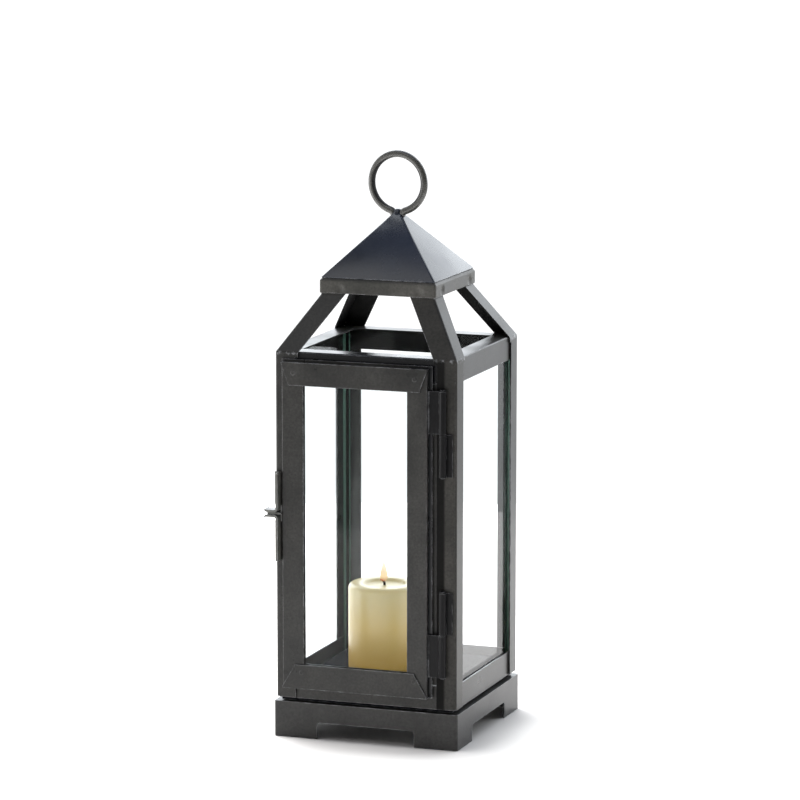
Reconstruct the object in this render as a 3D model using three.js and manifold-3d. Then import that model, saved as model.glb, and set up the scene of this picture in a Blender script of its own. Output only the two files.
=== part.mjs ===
// Candle lantern of folded and spot-welded sheet steel, glazed on four sides.
// Millimetres, +Z up. The door is on the -Y face, with its hinges on the right (+X) and its catch
// on the left. Pieces are drawn about the axis of the square body, with the ground at height 0.
// The whole is then moved by FOOTPRINT, so that the origin is the middle of its overall footprint.

import * as THREE from 'three';
import { mergeVertices } from 'three/addons/utils/BufferGeometryUtils.js';
import Module from 'manifold-3d';

const wasm = await Module();
wasm.setup();

// ---- Driving dimensions -------------------------------------------------

const SHEET = 1;                    // steel sheet of the frame
const GAP = 0.3;                    // clearance between pieces that touch
const SIDE = 120;                   // outside of the corner posts, square
const FOOTPRINT = { x: 2, y: 3 };   // door, hinges and catch reach further on the front and left

const PLINTH_SIDE = 122.5;
const PLINTH_HEIGHT = 23;
const PLINTH_BEND = 1.6;            // outside radius of its folded edges
const ARCH_WIDTH = 65;              // cut-out that leaves a bracket foot at each corner
const ARCH_HEIGHT = 10.5;
const ARCH_RADIUS = 2;

const NECK = 2.5;                   // shadow gap between the plinth and the posts
const POST_HEIGHT = 220.5;          // up to the shoulder
const FLANGE = 13;                  // width of a post's flanges
const EAR = 15.3;                   // their width at the shoulder, where the legs begin
const EAR_DROP = 3;                 // how far the wider part reaches below the shoulder
const POST_BEND = 1.6;
const SHOULDER_BEND = 6;            // outside radius of the bend at the shoulder
const FRUSTUM_RISE = 35.3;          // shoulder to the roof's skirt
const LEG_WIDTH = 16;               // of a post's flanges where they meet the skirt
const LEG_TAB = 7;                  // upright end of a post, welded inside the skirt

const BAND = 15.2;                  // depth of the bands that tie the posts
const BAND_FLANGE = 12;             // inward fold along a top band's upper edge
const PANE = 2;                     // glass thickness
const PANE_WIDTH = 108;

const PAN_SIDE = 99;                // raised platform of the floor pan
const PAN_TOP = 10.3;               // platform above the foot of the posts

const SKIRT_SIDE = 77.2;
const SKIRT_HEIGHT = 9;
const ROOF_RISE = 41.2;
const EAVE_BEND = 1.8;              // outside radius of the fold between roof and skirt
const SKIRT_BEND = 1.4;             // outside radius of the skirt's corners
const HEM = 3;                      // hem folded in along the skirt's lower edge, between the legs
const HEM_SHEET = 0.8;

const ROD = 4.6;                    // ring handle's rod
const RING_RADIUS = 18.3;           // to the middle of the rod
const RING_SPREAD = 2.5;            // half the distance between its two ends
const RING_FILLET = 4;
const RING_TURN = -6;               // degrees about the lantern's axis
const RING_TAIL = 16;               // length of each end inside the roof

const DOOR_LEFT = -54.2;
const DOOR_RIGHT = 42.1;
const DOOR_FOOT = 8.2;              // above the foot of the posts
const DOOR_HEAD = 214;
const DOOR_DEPTH = 4;               // how far its face stands proud of the posts
const STILE_LEFT = 14.4;
const STILE_RIGHT = 13.3;
const RAIL_TOP = 13.5;
const RAIL_FOOT = 14.5;
const RAIL_SLANT_TOP = 4.9;         // how much each slanted end takes off the rail
const RAIL_SLANT_FOOT = 8.5;
const DOOR_SHEET = 0.8;
const BACKING_LIP = 1.6;            // the backing strips show this far past the door's head
const BACKING_LEFT_LIP = 0.8;
const BACKING_RIGHT_LIP = 2.5;
const DOOR_PANE = 1.6;
const DOOR_PANE_LAP = 5;            // glass hidden behind the stiles and rails
const STOP_REACH = 42.5;            // inner edge of the stop strips behind the door's sides
const STOP_SHEET = 0.8;

const KNUCKLE = 27;                 // length of each hinge half
const KNUCKLE_RADIUS = 2.3;
const PIN_RADIUS = 1.05;
const PIN_HEAD_RADIUS = 1.8;
const PIN_HEAD = 0.8;
const LEAF = 0.7;                   // hinge leaf thickness
const HINGE_X = 51.8;
const HINGE_UPPER = 174.7;          // where the two halves of each hinge meet
const HINGE_LOWER = 48;
const POST_LEAF_REACH = 6;          // leaf on the post, from the hinge's axis

const CATCH_Z = 118.9;              // middle of the catch, above the foot of the posts
const CATCH_X = -57.2;              // outer face of the spring arms
const CATCH_DEPTH = 7.7;            // width of the spring strip
const CATCH_ARM_UPPER = 23.5;
const CATCH_ARM_LOWER = 28;
const CATCH_LIP = 6.7;
const CATCH_BEND = 1;               // inside radius of each arm's turn
const CATCH_MOUTH = 1.7;            // between the lips
const SPRING = 1.5;
const SPRING_FOOT = 2.6;            // flange on the post that carries an arm
const TONGUE = 1.1;

const CANDLE_X = -8;
const CANDLE_Y = -3;
const CANDLE_RADIUS = 23.2;
const CANDLE_HEIGHT = 55.2;
const CANDLE_EDGE = 3;              // rounding of the candle's upper edge
const POOL_RADIUS = 12.9;
const POOL_DEPTH = 1.6;
const WICK_RADIUS = 0.8;
const WICK_ABOVE = 4.5;             // wick showing above the pool
const TAB_RADIUS = 10;              // metal disc under the wick
const TAB_HEIGHT = 0.6;

// ---- Levels worked out from them ----------------------------------------

const half = SIDE / 2;
const postFoot = PLINTH_HEIGHT + NECK;
const shoulder = postFoot + POST_HEIGHT;
const skirtFoot = shoulder + FRUSTUM_RISE;
const eaves = skirtFoot + SKIRT_HEIGHT;
const apex = eaves + ROOF_RISE;
const skirtHalf = SKIRT_SIDE / 2;
const legHalf = skirtHalf - SHEET - GAP;
const bandOuter = half - SHEET - GAP;
const bandInner = bandOuter - SHEET;
const platform = postFoot + PAN_TOP;
const doorFace = -(half + DOOR_DEPTH);
const doorBack = -(half + GAP);
const hingeY = -(half + GAP + KNUCKLE_RADIUS);

// ---- Materials ----------------------------------------------------------

const paintedSteel = new THREE.MeshStandardMaterial({ color: '#44454a', roughness: 0.42, metalness: 0.55 });
const plinthSteel = new THREE.MeshStandardMaterial({ color: '#3c3d42', roughness: 0.42, metalness: 0.55 });
const roofSteel = new THREE.MeshStandardMaterial({ color: '#50545c', roughness: 0.32, metalness: 0.6 });
const hingeSteel = new THREE.MeshStandardMaterial({ color: '#2b2b2e', roughness: 0.5, metalness: 0.6 });
const glass = new THREE.MeshStandardMaterial({
  color: '#e4eeea', roughness: 0.05, metalness: 0, transparent: true, opacity: 0.25,
});
const wax = new THREE.MeshStandardMaterial({ color: '#d9cb9a', roughness: 0.5, metalness: 0 });
const wickCotton = new THREE.MeshStandardMaterial({ color: '#1f1a14', roughness: 0.95, metalness: 0 });
const tinnedSteel = new THREE.MeshStandardMaterial({ color: '#b9bbbd', roughness: 0.35, metalness: 0.9 });

// ---- Geometry helpers ---------------------------------------------------

function toSolid(geometry) {
  const bare = geometry.index ? geometry.toNonIndexed() : geometry.clone();
  bare.deleteAttribute('normal');
  bare.deleteAttribute('uv');
  const merged = mergeVertices(bare, 1e-4);
  return new wasm.Manifold(new wasm.Mesh({
    numProp: 3,
    vertProperties: new Float32Array(merged.attributes.position.array),
    triVerts: new Uint32Array(merged.index.array),
  }));
}

function toGeometry(solid) {
  const mesh = solid.getMesh();
  const geometry = new THREE.BufferGeometry();
  geometry.setAttribute('position', new THREE.BufferAttribute(new Float32Array(mesh.vertProperties), 3));
  geometry.setIndex(new THREE.BufferAttribute(new Uint32Array(mesh.triVerts), 1));
  return geometry;
}

function box(x0, x1, y0, y1, z0, z1) {
  const geometry = new THREE.BoxGeometry(x1 - x0, y1 - y0, z1 - z0);
  return toSolid(geometry.translate((x0 + x1) / 2, (y0 + y1) / 2, (z0 + z1) / 2));
}

// A closed outline of [a, b] pairs pushed along one axis. The pairs are (y, z), (x, z) or (x, y).
function prism(axis, outline, from, to) {
  const shape = new THREE.Shape(outline.map(([a, b]) => new THREE.Vector2(a, b)));
  const geometry = new THREE.ExtrudeGeometry(shape, { depth: to - from, bevelEnabled: false });
  if (axis === 'x') {
    geometry.applyMatrix4(new THREE.Matrix4().makeBasis(
      new THREE.Vector3(0, 1, 0), new THREE.Vector3(0, 0, 1), new THREE.Vector3(1, 0, 0)));
    return toSolid(geometry.translate(from, 0, 0));
  }
  if (axis === 'y') {
    geometry.applyMatrix4(new THREE.Matrix4().makeBasis(
      new THREE.Vector3(1, 0, 0), new THREE.Vector3(0, 0, 1), new THREE.Vector3(0, -1, 0)));
    return toSolid(geometry.translate(0, to, 0));
  }
  return toSolid(geometry.translate(0, 0, from));
}

function cylinder(radius, x, y, z0, z1, sides) {
  const geometry = new THREE.CylinderGeometry(radius, radius, z1 - z0, sides);
  return toSolid(geometry.rotateX(Math.PI / 2).translate(x, y, (z0 + z1) / 2));
}

// Points of an arc, in degrees, both ends included.
function arc(cx, cy, radius, from, to, steps) {
  return Array.from({ length: steps + 1 }, (_, i) => {
    const angle = THREE.MathUtils.degToRad(from + (to - from) * i / steps);
    return [cx + radius * Math.cos(angle), cy + radius * Math.sin(angle)];
  });
}

// A square outline about the axis with its corners rounded.
function roundedSquare(halfSide, radius, steps) {
  const c = halfSide - radius;
  return [
    ...arc(c, c, radius, 0, 90, steps),
    ...arc(-c, c, radius, 90, 180, steps),
    ...arc(-c, -c, radius, 180, 270, steps),
    ...arc(c, -c, radius, 270, 360, steps),
  ];
}

// A column whose outline is a rounded square at each level; the levels are [half side, height].
function column(levels, radius, steps) {
  const rings = levels.map(([halfSide, z]) => roundedSquare(halfSide, radius, steps).map(([x, y]) => [x, y, z]));
  const count = rings[0].length;
  const last = levels.length - 1;
  const at = (level, i) => level * count + (i % count);
  const faces = [];
  for (let level = 0; level < last; level += 1) {
    for (let i = 0; i < count; i += 1) {
      faces.push(at(level, i), at(level, i + 1), at(level + 1, i + 1));
      faces.push(at(level, i), at(level + 1, i + 1), at(level + 1, i));
    }
  }
  for (let i = 1; i < count - 1; i += 1) {
    faces.push(at(0, 0), at(0, i + 1), at(0, i));
    faces.push(at(last, 0), at(last, i), at(last, i + 1));
  }
  const geometry = new THREE.BufferGeometry();
  geometry.setAttribute('position', new THREE.Float32BufferAttribute(rings.flat(2), 3));
  geometry.setIndex(faces);
  return toSolid(geometry);
}

const lantern = new THREE.Group();
lantern.position.set(FOOTPRINT.x, FOOTPRINT.y, 0);

function addNode(name, shape, material, parent = lantern) {
  const geometry = shape instanceof THREE.BufferGeometry ? shape : toGeometry(shape);
  const mesh = new THREE.Mesh(geometry, material);
  mesh.name = name;
  parent.add(mesh);
  return mesh;
}

// Groups turned a quarter at a time, so that a piece drawn on the front serves every side.
function quarterTurn(turns) {
  const group = new THREE.Group();
  group.rotation.z = turns * Math.PI / 2;
  lantern.add(group);
  return group;
}

const sides = { front: 0, right: 1, rear: 2, left: 3 };
const corners = { front_left: 0, front_right: 1, rear_right: 2, rear_left: 3 };

// ---- Plinth: an open-bottomed folded box with an arch cut in each side ----

function makePlinth() {
  const outer = PLINTH_SIDE / 2;
  const body = prism('z', roundedSquare(outer, PLINTH_BEND, 4), 0, PLINTH_HEIGHT);
  const inner = outer - SHEET;
  const inside = box(-inner, inner, -inner, inner, -1, PLINTH_HEIGHT - SHEET);
  const arch = [
    [-ARCH_WIDTH / 2, -1],
    [ARCH_WIDTH / 2, -1],
    ...arc(ARCH_WIDTH / 2 - ARCH_RADIUS, ARCH_HEIGHT - ARCH_RADIUS, ARCH_RADIUS, 0, 90, 4),
    ...arc(-ARCH_WIDTH / 2 + ARCH_RADIUS, ARCH_HEIGHT - ARCH_RADIUS, ARCH_RADIUS, 90, 180, 4),
  ];
  return body.subtract(inside)
    .subtract(prism('x', arch, -SIDE, SIDE))
    .subtract(prism('y', arch, -SIDE, SIDE));
}

addNode('base_plinth', makePlinth(), plinthSteel);

// ---- Floor pan: a raised platform, a channel round it for the panes, and a turned-down rim ----

function makePan() {
  const rim = bandInner - GAP;
  const rimFoot = PLINTH_HEIGHT + GAP;
  const brim = postFoot + 0.5;
  const top = PAN_SIDE / 2;
  const outside = box(-rim, rim, -rim, rim, rimFoot, brim).add(box(-top, top, -top, top, rimFoot, platform));
  const inRim = rim - SHEET;
  const inTop = top - SHEET;
  const inside = box(-inRim, inRim, -inRim, inRim, rimFoot - 1, brim - SHEET)
    .add(box(-inTop, inTop, -inTop, inTop, rimFoot - 1, platform - SHEET));
  return outside.subtract(inside);
}

addNode('floor_pan', makePan(), plinthSteel);

// ---- Corner posts: folded angles that widen at the shoulder and bend in along the frustum ----

// One flange lies in the front face: the sheet seen from the side, cut to the flange's outline.
function makePost() {
  const lean = Math.atan2(half - legHalf, FRUSTUM_RISE);
  const bendStart = shoulder - SHOULDER_BEND * Math.tan(lean / 2);
  const bendEnd = 180 - THREE.MathUtils.radToDeg(lean);
  const sheetOutside = [
    [-half, postFoot],
    ...arc(SHOULDER_BEND - half, bendStart, SHOULDER_BEND, 180, bendEnd, 3),
    [-legHalf, skirtFoot],
    [-legHalf, skirtFoot + LEG_TAB],
  ];
  const sheetInside = sheetOutside.map(([a, z]) => [a + SHEET, z]).reverse();
  const section = [...sheetOutside, ...sheetInside];
  const outline = [
    [-half + FLANGE, postFoot],
    [-half + FLANGE, shoulder - EAR_DROP - 0.6],
    [-half + FLANGE + 0.6, shoulder - EAR_DROP],
    [-half + EAR, shoulder - EAR_DROP],
    [-half + EAR, shoulder],
    [-legHalf + LEG_WIDTH, skirtFoot],
    [-legHalf + LEG_WIDTH, skirtFoot + LEG_TAB],
    ...sheetOutside.toReversed(),
  ];
  const frontFlange = prism('x', section, -half, 0).intersect(prism('y', outline, -half, 0));
  const sideFlange = prism('y', section, -half, 0).intersect(prism('x', outline, -half, 0));
  const levels = [[half, postFoot - 1], [half, shoulder], [legHalf, skirtFoot], [legHalf, apex]];
  const rounded = column(levels, POST_BEND, 4);
  return frontFlange.add(sideFlange).intersect(rounded);
}

const post = makePost();
for (const [name, turns] of Object.entries(corners)) {
  addNode(`corner_post_${name}`, post, paintedSteel, quarterTurn(turns));
}

// ---- Bands that tie the posts, with mitred ends ----

function mitred(band) {
  const reach = half;
  return band.intersect(prism('z', [[0, -GAP], [-reach, -reach - GAP], [reach, -reach - GAP]], 0, apex));
}

function makeTopBand() {
  const top = shoulder + 0.5;
  const section = [
    [-bandOuter, top - BAND],
    [-bandInner, top - BAND],
    [-bandInner, top - SHEET],
    [-bandOuter + BAND_FLANGE, top - SHEET],
    [-bandOuter + BAND_FLANGE, top],
    [-bandOuter + SHEET / 2, top],
    [-bandOuter, top - SHEET / 2],
  ];
  return mitred(prism('x', section, -half, half));
}

function makeBottomBand() {
  const foot = postFoot - 0.5;
  return mitred(box(-half, half, -bandOuter, -bandInner, foot, foot + BAND));
}

const topBand = makeTopBand();
const bottomBand = makeBottomBand();
for (const [name, turns] of Object.entries(sides)) {
  addNode(`top_band_${name}`, topBand, paintedSteel, quarterTurn(turns));
  addNode(`bottom_band_${name}`, bottomBand, paintedSteel, quarterTurn(turns));
}

// ---- Fixed panes, standing in the floor pan's channel behind the bands ----

const paneFront = -(bandInner - GAP);
const pane = box(-PANE_WIDTH / 2, PANE_WIDTH / 2, paneFront, paneFront + PANE,
  postFoot + 0.5 + GAP, shoulder + 0.5 - SHEET - GAP);
for (const name of ['right', 'rear', 'left']) {
  addNode(`pane_${name}`, pane, glass, quarterTurn(sides[name]));
}

// ---- Roof: a pyramid over an upright skirt with a folded hem ----

function pyramid(halfSide, foot, wall, tip, bend) {
  const turn = Math.atan2(halfSide, tip - wall);
  const fold = arc(halfSide - bend, wall - bend * Math.tan(turn / 2), bend, 0, THREE.MathUtils.radToDeg(turn), 3);
  const mirrored = fold.map(([a, z]) => [-a, z]).reverse();
  const outline = [[-halfSide, foot], [halfSide, foot], ...fold, [0, tip], ...mirrored];
  return prism('x', outline, -halfSide, halfSide).intersect(prism('y', outline, -halfSide, halfSide));
}

function ringEnds(radius, z0, z1) {
  const turn = THREE.MathUtils.degToRad(RING_TURN);
  const x = RING_SPREAD * Math.cos(turn);
  const y = RING_SPREAD * Math.sin(turn);
  return cylinder(radius, x, y, z0, z1, 20).add(cylinder(radius, -x, -y, z0, z1, 20));
}

function makeRoof() {
  const slope = ROOF_RISE / skirtHalf;
  const drop = SHEET * Math.hypot(1, slope);
  const inner = skirtHalf - SHEET;
  const innerEaves = eaves + SHEET * slope - drop;
  const shell = pyramid(skirtHalf, skirtFoot, eaves, apex, EAVE_BEND)
    .intersect(prism('z', roundedSquare(skirtHalf, SKIRT_BEND, 3), skirtFoot, apex))
    .subtract(pyramid(inner, skirtFoot - 1, innerEaves, apex - drop, EAVE_BEND - SHEET));
  const reach = legHalf - LEG_WIDTH - 1;
  const face = inner + SHEET / 2;
  const lip = inner - HEM_SHEET;
  return shell
    .add(box(-reach, reach, -face, -lip, skirtFoot, skirtFoot + HEM))
    .add(box(-reach, reach, lip, face, skirtFoot, skirtFoot + HEM))
    .add(box(-face, -lip, -reach, reach, skirtFoot, skirtFoot + HEM))
    .add(box(lip, face, -reach, reach, skirtFoot, skirtFoot + HEM))
    .subtract(ringEnds(ROD / 2 + GAP, eaves, apex + 1));
}

addNode('roof_cap', makeRoof(), roofSteel);

// ---- Ring handle: one rod bent to a circle, its two ends going down through the roof ----

function makeRing() {
  const inside = RING_RADIUS - ROD / 2;
  const centre = apex + 0.4 + inside;
  const filletX = RING_SPREAD + RING_FILLET;
  const reach = RING_RADIUS + RING_FILLET;
  const filletZ = centre - Math.sqrt(reach * reach - filletX * filletX);
  const meet = THREE.MathUtils.radToDeg(Math.atan2(filletZ - centre, filletX));
  const tail = filletZ - RING_TAIL;
  const rightEnd = [
    [RING_SPREAD, tail],
    [RING_SPREAD, (tail + filletZ) / 2],
    ...arc(filletX, filletZ, RING_FILLET, 180, meet + 180, 4),
  ];
  const loop = arc(0, centre, RING_RADIUS, meet, 180 - meet, 44).slice(1, -1);
  const leftEnd = rightEnd.map(([x, z]) => [-x, z]).reverse();
  const points = [...rightEnd, ...loop, ...leftEnd].map(([x, z]) => new THREE.Vector3(x, 0, z));
  const section = new THREE.Shape(arc(0, 0, ROD / 2, 0, 360 - 360 / 14, 13).map(([x, y]) => new THREE.Vector2(x, y)));
  return new THREE.ExtrudeGeometry(section, {
    steps: 64,
    extrudePath: new THREE.CatmullRomCurve3(points, false, 'centripetal'),
  });
}

const ring = addNode('ring_handle', toSolid(makeRing()), hingeSteel);
ring.rotation.z = THREE.MathUtils.degToRad(RING_TURN);

// ---- Door ----

const door = new THREE.Group();
door.position.z = postFoot;
lantern.add(door);

const backingFront = doorBack - DOOR_SHEET;
const stileBack = backingFront - GAP;
const faceBack = doorFace + DOOR_SHEET;

// A stile: its face and the outer edge folded back towards the posts.
function makeStile(outer, inner) {
  const web = Math.sign(inner - outer) * DOOR_SHEET;
  const section = [
    [outer, stileBack],
    [outer, doorFace + DOOR_SHEET / 2],
    [outer + web / 2, doorFace],
    [inner, doorFace],
    [inner, faceBack],
    [outer + web, faceBack],
    [outer + web, stileBack],
  ];
  return prism('z', section, DOOR_FOOT, DOOR_HEAD);
}

// A rail: a plate over the stiles with slanted ends, its outer edge folded back above them.
function makeRail(outer, inner, slant) {
  const face = doorFace - GAP;
  const up = Math.sign(outer - inner);
  const edge = outer + up * (DOOR_SHEET + GAP);
  const plate = prism('y', [
    [DOOR_LEFT, edge], [DOOR_RIGHT, edge], [DOOR_RIGHT, outer],
    [DOOR_RIGHT - slant, inner], [DOOR_LEFT + slant, inner], [DOOR_LEFT, outer],
  ], face - DOOR_SHEET, face);
  const web = box(DOOR_LEFT, DOOR_RIGHT, face - DOOR_SHEET / 2, stileBack,
    Math.min(edge, edge - up * DOOR_SHEET), Math.max(edge, edge - up * DOOR_SHEET));
  return plate.add(web);
}

addNode('door_stile_left', makeStile(DOOR_LEFT, DOOR_LEFT + STILE_LEFT), paintedSteel, door);
addNode('door_stile_right', makeStile(DOOR_RIGHT, DOOR_RIGHT - STILE_RIGHT), paintedSteel, door);
addNode('door_rail_top', makeRail(DOOR_HEAD, DOOR_HEAD - RAIL_TOP, RAIL_SLANT_TOP), paintedSteel, door);
addNode('door_rail_bottom', makeRail(DOOR_FOOT, DOOR_FOOT + RAIL_FOOT, RAIL_SLANT_FOOT), paintedSteel, door);

// Backing strips behind the glass, a little larger than the face.
const openLeft = DOOR_LEFT + STILE_LEFT;
const openRight = DOOR_RIGHT - STILE_RIGHT;
const openFoot = DOOR_FOOT + RAIL_FOOT;
const openHead = DOOR_HEAD - RAIL_TOP;
const backLeft = DOOR_LEFT - BACKING_LEFT_LIP;
const backRight = DOOR_RIGHT + BACKING_RIGHT_LIP;
const backHead = DOOR_HEAD + BACKING_LIP + DOOR_SHEET + GAP;
const backFoot = DOOR_FOOT - DOOR_SHEET - GAP;
const backings = {
  door_backing_left: [backLeft, openLeft, backFoot, backHead],
  door_backing_right: [openRight, backRight, backFoot, backHead],
  door_backing_top: [openLeft + GAP, openRight - GAP, openHead, backHead],
  door_backing_bottom: [openLeft + GAP, openRight - GAP, backFoot, openFoot],
};
for (const [name, [x0, x1, z0, z1]] of Object.entries(backings)) {
  addNode(name, box(x0, x1, backingFront, doorBack, z0, z1), paintedSteel, door);
}

const paneBack = backingFront - 0.1;
addNode('door_pane', box(openLeft - DOOR_PANE_LAP, openRight + DOOR_PANE_LAP,
  paneBack - DOOR_PANE, paneBack, openFoot - DOOR_PANE_LAP, openHead + DOOR_PANE_LAP), glass, door);

// ---- Stop strips: they close the gaps beside the door, behind the front posts' flanges ----

const stopFoot = postFoot - 0.5 + BAND + GAP;
const stopHead = shoulder + 0.5 - BAND - GAP;
const stopFar = bandInner - GAP;
const stopBack = -bandOuter + STOP_SHEET;
addNode('door_stop_left', box(-stopFar, -STOP_REACH, -bandOuter, stopBack, stopFoot, stopHead), paintedSteel);
addNode('door_stop_right', box(STOP_REACH, stopFar, -bandOuter, stopBack, stopFoot, stopHead), paintedSteel);

// ---- Hinges: a half on the post and a half on the door, on one pin ----

function knuckle(z0, z1) {
  return cylinder(KNUCKLE_RADIUS, HINGE_X, hingeY, z0, z1, 24)
    .subtract(cylinder(PIN_RADIUS + GAP, HINGE_X, hingeY, z0 - 1, z1 + 1, 20));
}

function bored(leaf, z0, z1) {
  return leaf.subtract(cylinder(PIN_RADIUS + GAP, HINGE_X, hingeY, z0 - 1, z1 + 1, 20));
}

function makePostHalf(z0, z1) {
  const leaf = box(HINGE_X, HINGE_X + POST_LEAF_REACH, doorBack - LEAF, doorBack, z0, z1);
  return knuckle(z0, z1).add(leaf);
}

function makeDoorHalf(z0, z1) {
  const flange = box(DOOR_RIGHT + GAP, DOOR_RIGHT + GAP + LEAF, doorFace + 0.4, backingFront - GAP, z0, z1);
  const bridge = box(DOOR_RIGHT + GAP, HINGE_X - PIN_RADIUS - GAP, hingeY - LEAF / 2, hingeY + LEAF / 2, z0, z1);
  return bored(knuckle(z0, z1).add(bridge).add(flange), z0, z1);
}

function makePin(z0, z1) {
  return cylinder(PIN_RADIUS, HINGE_X, hingeY, z0 - PIN_HEAD, z1 + GAP, 20)
    .add(cylinder(PIN_HEAD_RADIUS, HINGE_X, hingeY, z1 + GAP, z1 + GAP + PIN_HEAD, 20));
}

// Above: the door's half sits on the post's. Below: the post's half sits on the door's.
const fixed = new THREE.Group();
fixed.position.z = postFoot;
lantern.add(fixed);
const hinges = {
  upper: { meet: HINGE_UPPER, doorAbove: true },
  lower: { meet: HINGE_LOWER, doorAbove: false },
};
for (const [name, { meet, doorAbove }] of Object.entries(hinges)) {
  const above = [meet + GAP / 2, meet + KNUCKLE];
  const below = [meet - KNUCKLE, meet - GAP / 2];
  const [doorSpan, postSpan] = doorAbove ? [above, below] : [below, above];
  addNode(`hinge_${name}_door_half`, makeDoorHalf(...doorSpan), hingeSteel, door);
  addNode(`hinge_${name}_post_half`, makePostHalf(...postSpan), hingeSteel, fixed);
  addNode(`hinge_${name}_pin`, makePin(meet - KNUCKLE, meet + KNUCKLE), hingeSteel, fixed);
}

// ---- Catch: two spring arms on the post, whose lips grip a tongue on the door ----

// The arm seen from the front, with the mouth at height 0: up the post, round, and out as a lip.
function springStrip(arm) {
  const lip = CATCH_MOUTH / 2;
  const bendX = CATCH_X - CATCH_BEND;
  const bendZ = lip + SPRING + CATCH_BEND;
  const tipX = CATCH_X - CATCH_BEND - CATCH_LIP;
  return [
    [CATCH_X + SPRING, bendZ + arm - CATCH_BEND],
    [CATCH_X, bendZ + arm - CATCH_BEND],
    ...arc(bendX, bendZ, CATCH_BEND, 0, -90, 6),
    [tipX + 1.2, lip + SPRING],
    [tipX, lip + SPRING + 0.4],
    [tipX, lip + 0.8],
    [tipX + 1.2, lip],
    ...arc(bendX, bendZ, CATCH_BEND + SPRING, -90, 0, 6),
  ];
}

function makeSpring(sign, arm) {
  const back = -(half + GAP);
  const front = back - CATCH_DEPTH;
  const top = CATCH_MOUTH / 2 + SPRING + arm;
  const outline = springStrip(arm).map(([x, z]) => [x, CATCH_Z + sign * z]);
  const strip = prism('y', sign > 0 ? outline : outline.reverse(), front, back);
  const near = CATCH_Z + sign * (CATCH_MOUTH / 2 + SPRING + CATCH_BEND + 2);
  const far = CATCH_Z + sign * top;
  const foot = box(CATCH_X - SPRING_FOOT, CATCH_X + SPRING / 2, back - SPRING, back,
    Math.min(near, far), Math.max(near, far));
  return strip.add(foot);
}

addNode('catch_spring_upper', makeSpring(1, CATCH_ARM_UPPER), hingeSteel, fixed);
addNode('catch_spring_lower', makeSpring(-1, CATCH_ARM_LOWER), hingeSteel, fixed);

function makeTongue() {
  const tip = CATCH_X - CATCH_BEND - CATCH_LIP + 1.2;
  const root = DOOR_LEFT - GAP;
  const back = backingFront - GAP;
  const front = back - 5.4;
  const outline = [[root, front + 0.6], [root, back], [tip + 1, back], [tip, back - 1], [tip, front + 1], [tip + 1, front]];
  const plate = prism('z', outline, CATCH_Z - TONGUE / 2, CATCH_Z + TONGUE / 2);
  const foot = box(root - DOOR_SHEET, root, doorFace + 0.2, back, CATCH_Z - 5, CATCH_Z + 5);
  return plate.add(foot);
}

addNode('latch_tongue', makeTongue(), hingeSteel, door);

// ---- Candle ----

const candle = new THREE.Group();
candle.position.set(CANDLE_X, CANDLE_Y, platform + GAP);
lantern.add(candle);

function turned(profile, segments) {
  const geometry = new THREE.LatheGeometry(profile.map(([r, z]) => new THREE.Vector2(r, z)), segments);
  return toSolid(geometry.rotateX(Math.PI / 2));
}

function makeWax() {
  const bore = WICK_RADIUS + GAP;
  const pool = CANDLE_HEIGHT - POOL_DEPTH;
  const seat = TAB_RADIUS + GAP;
  const seatTop = TAB_HEIGHT + GAP;
  return turned([
    [bore, seatTop],
    [seat, seatTop],
    [seat, 0],
    [CANDLE_RADIUS - 0.6, 0],
    [CANDLE_RADIUS, 0.6],
    ...arc(CANDLE_RADIUS - CANDLE_EDGE, CANDLE_HEIGHT - CANDLE_EDGE, CANDLE_EDGE, 0, 90, 6),
    [POOL_RADIUS + 2, CANDLE_HEIGHT],
    [POOL_RADIUS, pool + 0.3],
    [POOL_RADIUS - 1.2, pool],
    [bore, pool],
    [bore, seatTop],
  ], 48);
}

addNode('candle_wax', makeWax(), wax, candle);
const wickFoot = TAB_HEIGHT + GAP;
const wickTop = CANDLE_HEIGHT - POOL_DEPTH + WICK_ABOVE;
addNode('candle_wick', cylinder(WICK_RADIUS, 0, 0, wickFoot, wickTop, 12), wickCotton, candle);
addNode('wick_tab', cylinder(TAB_RADIUS, 0, 0, 0, TAB_HEIGHT, 36), tinnedSteel, candle);

export default lantern;
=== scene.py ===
"""Candle lantern of painted sheet steel: its finished pieces and finishes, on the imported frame."""

import math

import bmesh
import bpy
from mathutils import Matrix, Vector


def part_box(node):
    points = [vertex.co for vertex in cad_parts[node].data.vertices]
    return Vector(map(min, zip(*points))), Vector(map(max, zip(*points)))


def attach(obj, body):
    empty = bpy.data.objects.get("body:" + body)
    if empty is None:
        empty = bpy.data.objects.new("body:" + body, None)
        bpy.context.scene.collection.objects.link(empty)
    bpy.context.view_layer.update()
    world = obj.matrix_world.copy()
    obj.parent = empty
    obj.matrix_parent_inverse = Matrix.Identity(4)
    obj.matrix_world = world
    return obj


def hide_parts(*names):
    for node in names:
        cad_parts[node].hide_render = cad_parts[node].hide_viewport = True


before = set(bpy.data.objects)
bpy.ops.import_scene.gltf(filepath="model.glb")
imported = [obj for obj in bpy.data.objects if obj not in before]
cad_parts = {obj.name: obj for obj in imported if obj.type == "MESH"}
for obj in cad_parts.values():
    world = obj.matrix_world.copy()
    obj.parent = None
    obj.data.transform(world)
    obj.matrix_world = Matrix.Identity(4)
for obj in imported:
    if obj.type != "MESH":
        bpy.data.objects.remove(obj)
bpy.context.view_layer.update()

MM = 0.001
SAME = 0.01 * MM                    # places closer than this are one place

# Where the square body's axis stands in the frame.
AXIS = (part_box("pane_right")[0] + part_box("pane_left")[1]) / 2

# ---- View -----------------------------------------------------------------

CAMERA_AZIMUTH = math.radians(19.77)
CAMERA_ELEVATION = math.radians(9.44)
CAMERA_DISTANCE = 2659 * MM
CAMERA_LENS = 188.7
AIM = Vector((3.2, 3.4, 209.3)) * MM


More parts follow.
